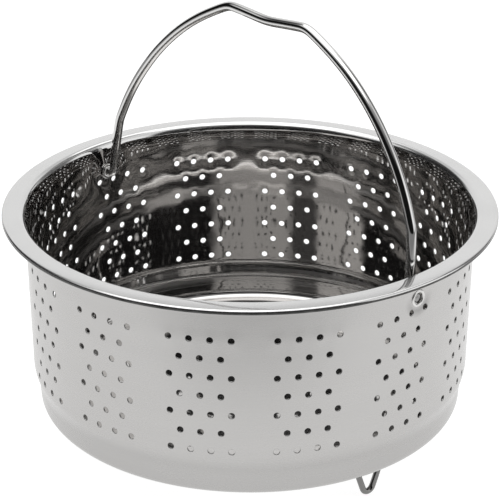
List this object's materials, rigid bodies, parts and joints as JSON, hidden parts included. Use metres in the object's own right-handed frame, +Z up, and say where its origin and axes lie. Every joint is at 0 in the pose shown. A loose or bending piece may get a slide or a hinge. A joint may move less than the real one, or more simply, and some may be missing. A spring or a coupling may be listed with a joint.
{
  "type": "steamer basket",
  "caption": "Round stainless steel steamer basket with a perforated wall, a flat rim flange, a swinging wire bail handle and welded wire feet.",
  "frame": {"origin": "on the bowl's vertical axis, in the plane the three feet stand on", "axes": "+Z up along the bowl's axis, X along the bail's pivot axis, +Y towards the side the bail leans to at rest"},
  "size_m": [0.24, 0.24, 0.2109],
  "materials": {
    "pressed_steel": "satin brushed around the outside, mirror polished on the flange and inside",
    "polished_wire": "polished bright wire",
    "eyelet_steel": "satin with a polished rolled edge",
    "foot_wire": "polished wire, slightly greyed at the welds"
  },
  "bodies": {
    "basket": {"basket_shell": "pressed_steel", "pivot_eyelet_right": "eyelet_steel", "pivot_eyelet_left": "eyelet_steel", "foot_front": "foot_wire", "foot_back_right": "foot_wire", "foot_back_left": "foot_wire"},
    "bail": {"bail_handle": "polished_wire"}
  },
  "joints": [
    {"name": "bail_swing", "type": "hinge", "parent": "basket", "child": "bail", "pos_m": [0, 0, 0.1032], "axis": [-1, 0, 0], "range_deg": [-87, 74.6]}
  ]
}
